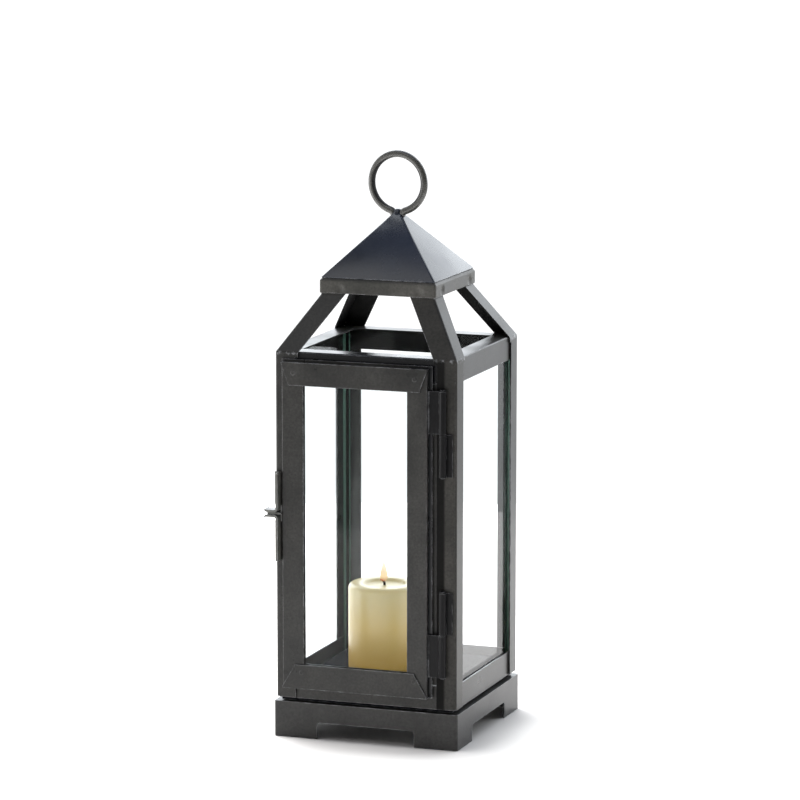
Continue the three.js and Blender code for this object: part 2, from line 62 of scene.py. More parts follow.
def add_camera():
    away = Vector((
        math.sin(CAMERA_AZIMUTH) * math.cos(CAMERA_ELEVATION),
        -math.cos(CAMERA_AZIMUTH) * math.cos(CAMERA_ELEVATION),
        math.sin(CAMERA_ELEVATION),
    ))
    turn = (-away).to_track_quat("-Z", "Y").to_euler()
    bpy.ops.object.camera_add(location=AIM + away * CAMERA_DISTANCE, rotation=turn)
    camera = bpy.context.object
    camera.data.lens = CAMERA_LENS
    camera.data.clip_end = 50
    bpy.context.scene.camera = camera


# ---- Node and colour helpers ------------------------------------------------


def srgb(text):
    """Linear RGBA of an sRGB hex colour."""
    channels = [int(text[i:i + 2], 16) / 255 for i in (1, 3, 5)]
    linear = [c / 12.92 if c <= 0.04045 else ((c + 0.055) / 1.055) ** 2.4 for c in channels]
    return (*linear, 1.0)


def add(tree, kind, inputs=None, **settings):
    """Adds a node with its settings; an input is a value, or the socket that feeds it."""
    node = tree.nodes.new(kind)
    for name, value in settings.items():
        setattr(node, name, value)
    for name, value in (inputs or {}).items():
        if isinstance(value, bpy.types.NodeSocket):
            tree.links.new(value, node.inputs[name])
        else:
            node.inputs[name].default_value = value
    return node


def new_material(name):
    material = bpy.data.materials.new(name)
    material.use_nodes = True
    material.node_tree.nodes.clear()
    return material, material.node_tree


def finish_surface(tree, shader):
    """Makes this shader the material's surface."""
    add(tree, "ShaderNodeOutputMaterial", {"Surface": shader})


def ramp(tree, factor, *stops):
    """A colour ramp; each stop is (position, sRGB hex)."""
    node = add(tree, "ShaderNodeValToRGB", {"Fac": factor})
    elements = node.color_ramp.elements
    while len(elements) < len(stops):
        elements.new(0.5)
    for element, (position, colour) in zip(elements, stops):
        element.position = position
        element.color = srgb(colour)
    return node.outputs["Color"]


def span(tree, value, low, high, to_low, to_high):
    """Spreads a value that runs from low to high over to_low to to_high, and holds it at both ends."""
    node = add(tree, "ShaderNodeMapRange", {
        "Value": value, "From Min": low, "From Max": high, "To Min": to_low, "To Max": to_high,
    })
    return node.outputs["Result"]


def pattern(tree, size_mm, detail=3.0, rough=0.5):
    """Noise on Object coordinates whose features are about size_mm across."""
    place = add(tree, "ShaderNodeTexCoord").outputs["Object"]
    node = add(tree, "ShaderNodeTexNoise", {
        "Vector": place, "Scale": 1 / (size_mm * MM), "Detail": detail, "Roughness": rough,
    })
    return node.outputs["Fac"]


def bump(tree, height, distance_mm, strength=1.0, normal=None):
    """The normal of a surface with this height pattern, on top of another bump if there is one."""
    inputs = {"Height": height, "Distance": distance_mm * MM, "Strength": strength}
    if normal is not None:
        inputs["Normal"] = normal
    return add(tree, "ShaderNodeBump", inputs).outputs["Normal"]


# ---- Finishes ---------------------------------------------------------------

WEAR_REACH = 0.8 * MM               # how far in from a fold or cut edge the paint is rubbed
WORN_GREY = "#949598"
# Painted shade, with soot, on the high faces inside the lantern: its colour, and the heights where it starts
# and is full.
SHADE_AND_SOOT_BLACK = "#0a0a0a"
SHADE_AND_SOOT_STARTS = 198 * MM
SHADE_AND_SOOT_FULL = 230 * MM
LINTEL_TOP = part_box("top_band_front")[1].z
SHOULDER = LINTEL_TOP - 1.2 * MM    # the height of the posts' soft fold
# Where the door's painted shadow ends across the strip beside the door.
DOOR_SHADOW_EDGE = AXIS[0] + 53 * MM    # where the strip beside the door ends
LACQUER = ("#262625", "#3b3a38")    # the two ends of the body's mottled tone
GLASS_INDEX = 1.2                   # below real glass, about 1.5, so that the panes stay clear


def worn_edges(tree):
    """How rubbed the paint is: only at folds and cut edges, and there in patches."""
    soft = add(tree, "ShaderNodeBevel", {"Radius": WEAR_REACH}, samples=4).outputs["Normal"]
    flat = add(tree, "ShaderNodeNewGeometry").outputs["Normal"]
    along = add(tree, "ShaderNodeVectorMath", {0: soft, 1: flat}, operation="DOT_PRODUCT").outputs["Value"]
    sharp = span(tree, along, 0.985, 0.9, 0.0, 1.0)
    patches = span(tree, pattern(tree, 6, detail=5, rough=0.7), 0.42, 0.6, 0.1, 0.9)
    return add(tree, "ShaderNodeMath", {0: sharp, 1: patches}, operation="MULTIPLY").outputs[0]


def soot(tree):
    """How dark the paint is painted inside: painted shade, with soot, on faces that look in at the flame,
    more the higher they are.
    """
    place = add(tree, "ShaderNodeTexCoord").outputs["Object"]
    out = add(tree, "ShaderNodeVectorMath", {0: place, 1: AXIS}, operation="SUBTRACT").outputs["Vector"]
    level = add(tree, "ShaderNodeVectorMath", {0: out, 1: (1.0, 1.0, 0.0)}, operation="MULTIPLY")
    level = level.outputs["Vector"]
    away = add(tree, "ShaderNodeVectorMath", {0: level}, operation="NORMALIZE").outputs["Vector"]
    normal = add(tree, "ShaderNodeNewGeometry").outputs["Normal"]
    dot = add(tree, "ShaderNodeVectorMath", {0: away, 1: normal}, operation="DOT_PRODUCT")
    inward = span(tree, dot.outputs["Value"], -0.1, -0.3, 0.0, 1.0)
    height = add(tree, "ShaderNodeSeparateXYZ", {"Vector": place}).outputs["Z"]
    high = span(tree, height, SHADE_AND_SOOT_STARTS, SHADE_AND_SOOT_FULL, 0.0, 0.97)
    return add(tree, "ShaderNodeMath", {0: inward, 1: high}, operation="MULTIPLY").outputs[0]


def blend(tree, factor, first, second):
    """The first colour, going over to the second as the factor goes from 0 to 1."""
    node = add(tree, "ShaderNodeMix", data_type="RGBA")
    tree.links.new(factor, node.inputs["Factor"])
    for socket, value in ((node.inputs[6], first), (node.inputs[7], second)):
        if isinstance(value, bpy.types.NodeSocket):
            tree.links.new(value, socket)
        else:
            socket.default_value = value
    return node.outputs[2]


def sheltered_strip(tree, edge):
    """Painted shadow of the door: the strip beside the door, below the lintel and past this place across, is
    painted black."""
    place = add(tree, "ShaderNodeTexCoord").outputs["Object"]
    parts = add(tree, "ShaderNodeSeparateXYZ", {"Vector": place}).outputs
    beside = span(tree, parts["X"], edge, edge - 1.5 * MM, 0.0, 0.9)
    below = span(tree, parts["Z"], LINTEL_TOP, LINTEL_TOP - 2 * MM, 0.0, 1.0)
    return add(tree, "ShaderNodeMath", {0: beside, 1: below}, operation="MULTIPLY").outputs[0]


def rubbed_fold(tree, height):
    """Bright rubbed specks along a soft fold at this height, where hands and packing touch it."""
    place = add(tree, "ShaderNodeTexCoord").outputs["Object"]
    level = add(tree, "ShaderNodeSeparateXYZ", {"Vector": place}).outputs["Z"]
    off = add(tree, "ShaderNodeMath", {0: level, 1: height}, operation="SUBTRACT").outputs[0]
    away = add(tree, "ShaderNodeMath", {0: off}, operation="ABSOLUTE").outputs[0]
    near = span(tree, away, 1.6 * MM, 0.3 * MM, 0.0, 1.0)
    specks = span(tree, pattern(tree, 3, detail=4, rough=0.7), 0.5, 0.64, 0.0, 0.85)
    return add(tree, "ShaderNodeMath", {0: near, 1: specks}, operation="MULTIPLY").outputs[0]


def charcoal_lacquer(name, deep, worn, dull, pebble_mm, level, rub=1.0, fold=None, shadow_edge=None):
    """Charcoal lacquer sprayed over folded sheet steel, which keeps soft waves.

    Its tone is mottled between deep and worn. dull is its roughness, pebble_mm the depth of its fine
    skin, level its specular level, and rub how strongly folds and cut edges are rubbed to a paler grey.
    fold is the height of a fold that is rubbed too; the last argument is where the door's painted shadow ends
    across the strip beside the door.
    Painted shade, with soot, blackens the high faces that look in at the flame.
    """
    material, tree = new_material(name)
    clouds = pattern(tree, 24, detail=4)
    grain = pattern(tree, 1.6, detail=4, rough=0.7)
    tone = add(tree, "ShaderNodeMath", {0: clouds, 1: grain}, operation="MULTIPLY").outputs[0]
    body = ramp(tree, tone, (0.12, deep), (0.42, worn))
    edges = add(tree, "ShaderNodeMath", {0: worn_edges(tree), 1: rub}, operation="MULTIPLY").outputs[0]
    if fold is not None:
        folded = rubbed_fold(tree, fold)
        edges = add(tree, "ShaderNodeMath", {0: edges, 1: folded}, operation="MAXIMUM").outputs[0]
    rubbed = blend(tree, edges, body, srgb(WORN_GREY))
    # Painted shade, with soot, blackens the high faces that look in at the flame.
    black = soot(tree)
    # The door's painted shadow: the strip beside the door is painted black.
    if shadow_edge is not None:
        strip = sheltered_strip(tree, shadow_edge)
        black = add(tree, "ShaderNodeMath", {0: black, 1: strip}, operation="MAXIMUM").outputs[0]
    colour = blend(tree, black, rubbed, srgb(SHADE_AND_SOOT_BLACK))
    pebbles = pattern(tree, 0.8, detail=2)
    waves = pattern(tree, 34, detail=1)
    rolled = bump(tree, waves, 0.6, 0.35)
    normal = bump(tree, pebbles, pebble_mm, 0.45, rolled)
    satin = span(tree, clouds, 0.3, 0.7, dull - 0.04, dull + 0.07)
    rough = add(tree, "ShaderNodeMath", {0: black, 1: 0.5, 2: satin}, operation="MULTIPLY_ADD").outputs[0]
    shader = add(tree, "ShaderNodeBsdfPrincipled", {
        "Base Color": colour, "Roughness": rough, "Metallic": 0.0, "IOR": 1.5,
        "Specular IOR Level": level, "Normal": normal,
    })
    finish_surface(tree, shader.outputs[0])
    return material


def tinplate():
    """Rolled tinplate of the wick's foot: softly gleaming metal with a fine grain and a waxy bloom."""
    material, tree = new_material("rolled_tinplate")
    bloom = pattern(tree, 3, detail=4)
    shader = add(tree, "ShaderNodeBsdfPrincipled", {
        "Base Color": ramp(tree, bloom, (0.3, "#8d8e8c"), (0.7, "#b9bab6")), "Metallic": 1.0,
        "Roughness": span(tree, bloom, 0.3, 0.7, 0.28, 0.5),
        "Normal": bump(tree, pattern(tree, 0.4), 0.01, 0.5),
    })
    finish_surface(tree, shader.outputs[0])
    return material


def window_glass():
    """Clear sheet glass: what is behind shows through with a very faint green cast, and a mirror gloss
    rises at a slant."""
    material, tree = new_material("window_glass")
    clear = add(tree, "ShaderNodeBsdfTransparent", {"Color": srgb("#fdfefe")})
    gloss = add(tree, "ShaderNodeBsdfGlossy", {"Color": srgb("#ffffff"), "Roughness": 0.0})
    inside = add(tree, "ShaderNodeNewGeometry").outputs["Backfacing"]
    index = span(tree, inside, 0.0, 1.0, GLASS_INDEX, 1 / GLASS_INDEX)
    slant = add(tree, "ShaderNodeFresnel", {"IOR": index})
    mixed = add(tree, "ShaderNodeMixShader", {
        "Fac": slant.outputs[0], 1: clear.outputs[0], 2: gloss.outputs[0],
    })
    finish_surface(tree, mixed.outputs[0])
    return material


def glass_edge():
    """The ground edge of the same glass, where the iron in it shows as deep green."""
    material, tree = new_material("ground_glass_edge")
    grind = pattern(tree, 0.6, detail=3)
    colour = ramp(tree, grind, (0.3, "#2c4a40"), (0.7, "#5c8575"))
    shader = add(tree, "ShaderNodeBsdfPrincipled", {
        "Base Color": colour, "Roughness": 0.35, "IOR": 1.5, "Normal": bump(tree, grind, 0.05, 0.5),
    })
    finish_surface(tree, shader.outputs[0])
    return material


def paraffin_wax(foot, top):
    """Cast paraffin wax: golden ivory and translucent, with a soft skin; painted light makes it glow and turn
    paler towards the flame.
    """
    material, tree = new_material("paraffin_wax")
    place = add(tree, "ShaderNodeTexCoord").outputs["Object"]
    height = add(tree, "ShaderNodeSeparateXYZ", {"Vector": place}).outputs["Z"]
    level = span(tree, height, foot, top, 0.0, 1.0)
    mottle = pattern(tree, 9, detail=3)
    mixed = add(tree, "ShaderNodeMath", {0: mottle, 1: 0.14, 2: level}, operation="MULTIPLY_ADD").outputs[0]
    # Painted light: darker at the foot, and paler and glowing towards the flame.
    colour = ramp(tree, mixed, (0.04, "#665216"), (0.16, "#7d6734"), (0.6, "#8f7f55"), (1.0, "#948a6b"))
    glow = ramp(tree, mixed, (0.04, "#564407"), (0.16, "#93762c"), (0.6, "#b09856"), (1.0, "#a99c6e"))
    skin = bump(tree, pattern(tree, 5, detail=4), 0.25, 0.35)
    shader = add(tree, "ShaderNodeBsdfPrincipled", {
        "Base Color": colour, "Roughness": 0.4, "IOR": 1.44, "Normal": skin,
        "Subsurface Weight": 0.5, "Subsurface Radius": (1.0, 0.72, 0.35), "Subsurface Scale": 6 * MM,
        "Coat Weight": 0.3, "Coat Roughness": 0.2, "Emission Color": glow, "Emission Strength": 0.74,
    })
    finish_surface(tree, shader.outputs[0])
    return material


def charred_cotton(top):
    """Braided cotton wick burnt black, with a dull ember at its tip."""
    material, tree = new_material("charred_cotton")
    place = add(tree, "ShaderNodeTexCoord").outputs["Object"]
    height = add(tree, "ShaderNodeSeparateXYZ", {"Vector": place}).outputs["Z"]
    braid = add(tree, "ShaderNodeTexWave", {"Vector": place, "Scale": 1 / (2.2 * MM), "Distortion": 3.0})
    colour = ramp(tree, braid.outputs["Fac"], (0.2, "#14110d"), (0.8, "#33291e"))
    ember = span(tree, height, top - 1.4 * MM, top, 0.0, 1.0)
    shader = add(tree, "ShaderNodeBsdfPrincipled", {
        "Base Color": colour, "Roughness": 0.95, "Normal": bump(tree, braid.outputs["Fac"], 0.15),
        "Emission Color": srgb("#c24a12"), "Emission Strength": ember,
    })
    finish_surface(tree, shader.outputs[0])
    return material


def candle_flame(foot, top):
    """A small still flame: warm and faint at the wick, pale yellow in the body, nearly clear at the tip."""
    material, tree = new_material("candle_flame")
    place = add(tree, "ShaderNodeTexCoord").outputs["Object"]
    height = add(tree, "ShaderNodeSeparateXYZ", {"Vector": place}).outputs["Z"]
    level = span(tree, height, foot, top, 0.0, 1.0)
    glow = ramp(tree, level, (0.05, "#f2b581"), (0.25, "#fbd9a0"), (0.6, "#fbeac4"), (1.0, "#f3ecdc"))
    dense = ramp(tree, level, (0.0, "#505050"), (0.3, "#f0f0f0"), (0.8, "#d0d0d0"), (1.0, "#606060"))
    light = add(tree, "ShaderNodeEmission", {"Color": glow, "Strength": 1.0})
    clear = add(tree, "ShaderNodeBsdfTransparent")
    mixed = add(tree, "ShaderNodeMixShader", {"Fac": dense, 1: clear.outputs[0], 2: light.outputs[0]})
    finish_surface(tree, mixed.outputs[0])
    return material


def studio_floor():
    """Pale matt floor with a painted glow: it glows more the further it is from the plinth, and so turns
    white a little way out.
    """
    material, tree = new_material("studio_floor")
    place = add(tree, "ShaderNodeTexCoord").outputs["Object"]
    reach = add(tree, "ShaderNodeVectorMath", {0: place}, operation="LENGTH").outputs["Value"]
    # Painted light: no glow near the plinth, more further out.
    near = span(tree, reach, 0.08, 0.2, 0.0, 0.45)
    far = span(tree, reach, 0.2, 0.7, 0.0, 0.28)
    painted_glow = add(tree, "ShaderNodeMath", {0: near, 1: far}, operation="ADD")
    shader = add(tree, "ShaderNodeBsdfPrincipled", {
        "Base Color": srgb("#b9b7b5"), "Roughness": 0.8, "Specular IOR Level": 0.05,
        "Emission Color": srgb("#ffffff"), "Emission Strength": painted_glow.outputs[0],
    })
    finish_surface(tree, shader.outputs[0])
    return material


FRAME_PAINT = charcoal_lacquer("charcoal_lacquer_frame", *LACQUER, 0.31, pebble_mm=0.035, level=0.2)
POST_PAINT = charcoal_lacquer("charcoal_lacquer_post", *LACQUER, 0.31, pebble_mm=0.035, level=0.2,
                              fold=SHOULDER)
# Its strip beside the door is painted black, a painted shadow of the door.
HINGE_POST_PAINT = charcoal_lacquer("charcoal_lacquer_hinge_post", "#2b2b29", "#413f3c", 0.31,
                                    pebble_mm=0.035, level=0.11, fold=SHOULDER, shadow_edge=DOOR_SHADOW_EDGE)
WELD_PAINT = charcoal_lacquer("charcoal_lacquer_weld", *LACQUER, 0.31, pebble_mm=0.035, level=0.2,
                              rub=0.25)
# Nearly black: painted shade on the lintel over the door and on the strip beside the door.
DOOR_SHADE_PAINT = charcoal_lacquer("charcoal_lacquer_lintel", "#0d0e11", "#16171a", 0.26,
                              pebble_mm=0.02, level=0.24)
PLINTH_PAINT = charcoal_lacquer("charcoal_lacquer_plinth", "#272726", "#3c3b3a", 0.32,
                                pebble_mm=0.035, level=0.23)
SKIRT_PAINT = charcoal_lacquer("charcoal_lacquer_skirt", "#3b3b38", "#565450", 0.36,
                               pebble_mm=0.03, level=0.17)
# Darker and bluer than the skirt's lacquer: a painted reflection of the dim blue overhead.
ROOF_PAINT_BLUE_REFLECTION = charcoal_lacquer("charcoal_lacquer_roof", "#1f232b", "#292e37", 0.24,
                              pebble_mm=0.01, level=0.52)
# Paler than the body's lacquer: a painted sheen on the ring's rod.
ROD_PAINT_WITH_SHEEN = charcoal_lacquer("charcoal_lacquer_rod", "#3a3a37", "#565550", 0.26,
                             pebble_mm=0.02, level=0.6)
# Nearly black: the fittings' own dark paint, darkened further as painted shade of the door's shadow they sit
# in.
SHADED_HINGE_PAINT = charcoal_lacquer("charcoal_lacquer_fittings", "#0d0d0e", "#171718", 0.34,
                               pebble_mm=0.03, level=0.12, rub=0.5)
# Paler than the body's lacquer: a painted highlight on the catch's arms.
CATCH_PAINT_HIGHLIT = charcoal_lacquer("rubbed_lacquer_catch", "#464643", "#676761", 0.3,
                               pebble_mm=0.03, level=0.4)
# Nearly black and matt: painted shade on the floor inside the lantern.
SHADED_PAN_PAINT = charcoal_lacquer("charcoal_primer_floor", "#0c0d10", "#131519", 0.9,
                             pebble_mm=0.008, level=0.02)
TINPLATE = tinplate()
GLASS = window_glass()
GLASS_EDGE = glass_edge()

# ---- Piece helpers ------------------------------------------------------------


def deselect():
    bpy.ops.object.select_all(action="DESELECT")


def name_active(name):
    piece = bpy.context.object
    piece.name = name
    piece.data.name = name
    return piece


def settle(piece, body, slot, *materials, smooth_deg=None):
    """Puts a finished piece's place in its mesh, gives it its finish and hangs it on its body."""
    deselect()
    piece.select_set(True)
    bpy.context.view_layer.objects.active = piece
    bpy.ops.object.transform_apply(location=True, rotation=True, scale=True)
    if smooth_deg is not None:
        bpy.ops.object.shade_smooth_by_angle(angle=math.radians(smooth_deg))
    piece.data.materials.clear()
    for material in materials:
        piece.data.materials.append(material)
    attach(piece, body)
    piece.select_set(False)


def add_modifier(piece, kind, **settings):
    modifier = piece.modifiers.new(kind.lower(), kind)
    for name, value in settings.items():
        setattr(modifier, name, value)


def fold_edges(node, material, radius_mm, segments=3):
    """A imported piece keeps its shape; its sharp edges are eased as folded and sheared sheet is."""
    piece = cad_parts[node]
    for face in piece.data.polygons:
        face.use_smooth = True
    piece.data.materials.clear()
    piece.data.materials.append(material)
    add_modifier(piece, "WELD", merge_threshold=SAME)
    add_modifier(piece, "BEVEL", width=radius_mm * MM, segments=segments, limit_method="ANGLE",
                 angle_limit=math.radians(28), harden_normals=True)
    add_modifier(piece, "WEIGHTED_NORMAL", keep_sharp=True)


def select_where(piece, kind, chosen):
    """In edit mode: selects just the vertices or edges that are chosen, by their middle and their way:
    a vertex's normal, or the direction an edge runs in."""
    mesh = bmesh.from_edit_mesh(piece.data)
    bpy.ops.mesh.select_mode(type=kind)
    bpy.ops.mesh.select_all(action="DESELECT")
    items = {"VERT": mesh.verts, "EDGE": mesh.edges}[kind]
    for item in items:
        if kind == "VERT":
            middle, way = item.co, item.normal
        else:
            middle = (item.verts[0].co + item.verts[1].co) / 2
            way = (item.verts[1].co - item.verts[0].co).normalized()
        item.select = chosen(middle, way)
    mesh.select_flush_mode()
    bmesh.update_edit_mesh(piece.data)


def turned(name, x, y, rings, vertices=32):
    """A round piece grown upwards ring by ring; each ring is (radius, height)."""
    (radius, height), *rest = rings
    deselect()
    bpy.ops.mesh.primitive_circle_add(
        vertices=vertices, radius=radius, fill_type="NGON", location=(x, y, height))
    piece = name_active(name)
    bpy.ops.object.transform_apply(location=True, rotation=True, scale=True)
    bpy.ops.object.mode_set(mode="EDIT")
    bpy.ops.mesh.select_all(action="SELECT")
    for next_radius, next_height in rest:
        bpy.ops.mesh.extrude_region_move(TRANSFORM_OT_translate={"value": (0, 0, next_height - height)})
        scale = next_radius / radius
        bpy.ops.transform.resize(value=(scale, scale, 1), center_override=(x, y, next_height))
        radius, height = next_radius, next_height
    bpy.ops.mesh.select_all(action="SELECT")
    bpy.ops.mesh.normals_make_consistent(inside=False)
    bpy.ops.object.mode_set(mode="OBJECT")
    return piece


def copy_turned(piece, name, angle):
    """A copy with its own mesh, turned about the lantern's axis."""
    twin = piece.copy()
    twin.data = piece.data.copy()
    twin.name = twin.data.name = name
    bpy.context.scene.collection.objects.link(twin)
    deselect()
    twin.select_set(True)
    bpy.context.view_layer.objects.active = twin
    bpy.ops.transform.rotate(value=angle, orient_axis="Z", center_override=(AXIS[0], AXIS[1], 0))
    bpy.ops.object.transform_apply(location=True, rotation=True, scale=True)
    return twin


# ---- Sheet steel --------------------------------------------------------------

NODE_FINISH = {
    "base_plinth": (PLINTH_PAINT, 0.35),
    "floor_pan": (SHADED_PAN_PAINT, 0.4),
    "roof_cap": (ROOF_PAINT_BLUE_REFLECTION, 0.35),
    "corner_post_front_right": (HINGE_POST_PAINT, 0.3),
    # The lintel and the strip beside the door take the nearly black paint of painted shade.
    "top_band_front": (DOOR_SHADE_PAINT, 0.3),
    "door_backing_right": (DOOR_SHADE_PAINT, 0.2),
    "door_rail_top": (FRAME_PAINT, 0.45),
    "door_rail_bottom": (FRAME_PAINT, 0.45),
    "wick_tab": (TINPLATE, 0.1),
}


def finish_sheet_steel():
    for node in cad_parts:
        if node in NODE_FINISH:
            fold_edges(node, *NODE_FINISH[node])
        elif node.startswith("corner_post"):
            fold_edges(node, POST_PAINT, 0.3)
        elif node.startswith(("top_band", "bottom_band", "door_stile", "door_rail", "door_backing",
                              "door_stop")):
            fold_edges(node, FRAME_PAINT, 0.3)
        elif node.startswith("hinge"):
            fold_edges(node, SHADED_HINGE_PAINT, 0.2, 2)
        elif node.startswith(("catch", "latch")):
            fold_edges(node, CATCH_PAINT_HIGHLIT, 0.25, 2)


# ---- Roof: a skirt with spot-weld dimples, and a folded pyramid that laps its turned-in edge -------

ROOF_LOW, ROOF_HIGH = (Vector(corner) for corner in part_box("roof_cap"))
SKIRT_HALF = (ROOF_HIGH.x - ROOF_LOW.x) / 2
SKIRT_HEIGHT = 9 * MM
EAVES = ROOF_LOW.z + SKIRT_HEIGHT
ROOF_RISE = 41.2 * MM
ROOF_PITCH = math.atan2(ROOF_RISE, SKIRT_HALF)
ROOF_SHEET = 0.8 * MM
SKIRT_CORNER = 1.4 * MM
BEND_DROP = 1.1 * MM                # the skirt's fold lies this far below the eaves
BEND_EASE = 0.5 * MM
LIP = 2.4 * MM                      # how far the skirt's upper edge turns in under the pyramid
PYRAMID_SHEET = 0.7 * MM
PYRAMID_INSET = 0.75 * MM           # the pyramid's foot stands this far in from the skirt
TIP_HALF = 1.3 * MM
RIDGE_EASE = 1.1 * MM
DIMPLES = (-25 * MM, 27.5 * MM)     # along each side of the skirt
DIMPLE_Z = ROOF_LOW.z + 2.8 * MM
DIMPLE_DEPTH = 0.8 * MM
DIMPLE_FLOOR = 0.9 * MM             # the radius of its flat floor
DIMPLE_REACH = 3.6 * MM


def make_skirt():
    """One side with its right-hand corner, four times round; its upper edge turns in under the pyramid."""
    flat = SKIRT_HALF - SKIRT_CORNER
    deselect()
    bpy.ops.mesh.primitive_grid_add(
        x_subdivisions=100, y_subdivisions=12, size=1, rotation=(math.pi / 2, 0, 0),
        location=(AXIS[0], AXIS[1] - SKIRT_HALF, ROOF_LOW.z + SKIRT_HEIGHT / 2 - BEND_DROP / 2),
    )
    side = name_active("roof_skirt")
    side.scale = (2 * flat, SKIRT_HEIGHT - BEND_DROP, 1)
    bpy.ops.object.transform_apply(location=True, rotation=True, scale=True)
    bpy.ops.object.mode_set(mode="EDIT")
    for along in DIMPLES:
        spot = Vector((AXIS[0] + along, AXIS[1] - SKIRT_HALF, DIMPLE_Z))
        select_where(side, "VERT", lambda middle, _: (middle - spot).length < DIMPLE_FLOOR)
        bpy.ops.transform.translate(
            value=(0, DIMPLE_DEPTH, 0), use_proportional_edit=True, use_proportional_connected=True,
            proportional_edit_falloff="SMOOTH", proportional_size=DIMPLE_REACH,
        )
    end = AXIS[0] + flat
    select_where(side, "EDGE", lambda middle, way: middle.x > end - SAME and abs(way.z) > 0.9)
    bpy.ops.mesh.spin(steps=4, angle=math.pi / 2, center=(end, AXIS[1] - flat, 0), axis=(0, 0, -1))
    bpy.ops.object.mode_set(mode="OBJECT")
    sides = [side] + [copy_turned(side, f"roof_skirt_{turn}", turn * math.pi / 2) for turn in (1, 2, 3)]
    deselect()
    for piece in sides:
        piece.select_set(True)
    bpy.context.view_layer.objects.active = side
    bpy.ops.object.join()
    bpy.ops.object.mode_set(mode="EDIT")
    bpy.ops.mesh.select_all(action="SELECT")
    bpy.ops.mesh.remove_doubles(threshold=0.02 * MM)
    bend = EAVES - BEND_DROP
    select_where(side, "EDGE", lambda middle, way: middle.z > bend - SAME and abs(way.z) < 0.1)
    bpy.ops.mesh.extrude_region_move(TRANSFORM_OT_translate={"value": (0, 0, LIP * math.tan(ROOF_PITCH))})
    shrink = (SKIRT_HALF - LIP) / SKIRT_HALF
    bpy.ops.transform.resize(value=(shrink, shrink, 1), center_override=(AXIS[0], AXIS[1], 0))
    select_where(side, "EDGE", lambda middle, way: abs(middle.z - bend) < SAME and abs(way.z) < 0.1)
    bpy.ops.mesh.bevel(offset=BEND_EASE, segments=3, affect="EDGES")
    bpy.ops.mesh.select_all(action="SELECT")
    bpy.ops.mesh.normals_make_consistent(inside=False)
    bpy.ops.object.mode_set(mode="OBJECT")
    thicken(side, ROOF_SHEET)
    settle(side, "frame", "roof_steel", SKIRT_PAINT, smooth_deg=40)
    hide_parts("roof_cap")


def thicken(piece, sheet, edge_mm=0.18):
    """Gives a single surface the sheet's thickness, inwards, and eases its cut edges."""
    add_modifier(piece, "SOLIDIFY", thickness=sheet, offset=-1, use_even_offset=True)
    add_modifier(piece, "BEVEL", width=edge_mm * MM, segments=2, limit_method="ANGLE",
                 angle_limit=math.radians(60))
    deselect()
    piece.select_set(True)
    bpy.context.view_layer.objects.active = piece
    for modifier in [modifier.name for modifier in piece.modifiers]:
        bpy.ops.object.modifier_apply(modifier=modifier)


def make_pyramid():
    """Four facets folded along softly rounded ridges, open below, with the rod's hole at the tip."""
    foot_half = SKIRT_HALF - PYRAMID_INSET
    foot = EAVES + PYRAMID_INSET * math.tan(ROOF_PITCH)
    tip = EAVES + (SKIRT_HALF - TIP_HALF) * math.tan(ROOF_PITCH)
    deselect()
    bpy.ops.mesh.primitive_cone_add(
        vertices=4, radius1=foot_half * math.sqrt(2), radius2=TIP_HALF * math.sqrt(2), depth=tip - foot,
        end_fill_type="NOTHING", location=(AXIS[0], AXIS[1], (tip + foot) / 2), rotation=(0, 0, math.pi / 4),
    )
    pyramid = name_active("roof_pyramid")
    bpy.ops.object.transform_apply(location=True, rotation=True, scale=True)
    bpy.ops.object.mode_set(mode="EDIT")
    select_where(pyramid, "EDGE", lambda _, way: abs(way.z) > 0.3)
    bpy.ops.mesh.bevel(offset=RIDGE_EASE, segments=4, affect="EDGES")
    bpy.ops.object.mode_set(mode="OBJECT")
    thicken(pyramid, PYRAMID_SHEET)
    settle(pyramid, "frame", "roof_steel", ROOF_PAINT_BLUE_REFLECTION, smooth_deg=40)
    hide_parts("roof_cap")


def make_braze():
    """The bead of braze that holds the rod's two ends at the tip of the roof."""
    tip = EAVES + SKIRT_HALF * math.tan(ROOF_PITCH)
    bead = turned("ring_braze", AXIS[0], AXIS[1], [
        (3.6 * MM, tip - 4.6 * MM), (3.4 * MM, tip - 3.4 * MM), (2.9 * MM, tip - 2.2 * MM),
        (2.5 * MM, tip - 1.2 * MM), (2.0 * MM, tip - 0.4 * MM), (1.2 * MM, tip),
    ], vertices=24)
    settle(bead, "frame", "roof_steel", ROOF_PAINT_BLUE_REFLECTION, smooth_deg=60)


def make_collars():
    """The upright end of each leg shows as a short lip below the skirt: two lips at every corner."""
    outer = SKIRT_HALF - 0.85 * MM
    size = Vector((14.8, 1.0, 2.2)) * MM
    foot = ROOF_LOW.z - 1.3 * MM
    for side in (-1, 1):
        deselect()
        bpy.ops.mesh.primitive_cube_add(size=1, scale=size, location=(
            AXIS[0] + side * (outer - 0.4 * MM - size.x / 2), AXIS[1] - outer + size.y / 2,
            foot + size.z / 2))
        lip = name_active(f"leg_collar_{'left' if side < 0 else 'right'}_0")
        bpy.ops.object.transform_apply(location=True, rotation=True, scale=True)
        bpy.ops.object.mode_set(mode="EDIT")
        bpy.ops.mesh.select_all(action="SELECT")
        bpy.ops.mesh.bevel(offset=0.3 * MM, segments=2, affect="EDGES")
        bpy.ops.object.mode_set(mode="OBJECT")
        lips = [lip] + [copy_turned(lip, lip.name[:-1] + str(turn), turn * math.pi / 2) for turn in (1, 2, 3)]
        for piece in lips:
            settle(piece, "frame", "painted_steel", FRAME_PAINT, smooth_deg=40)


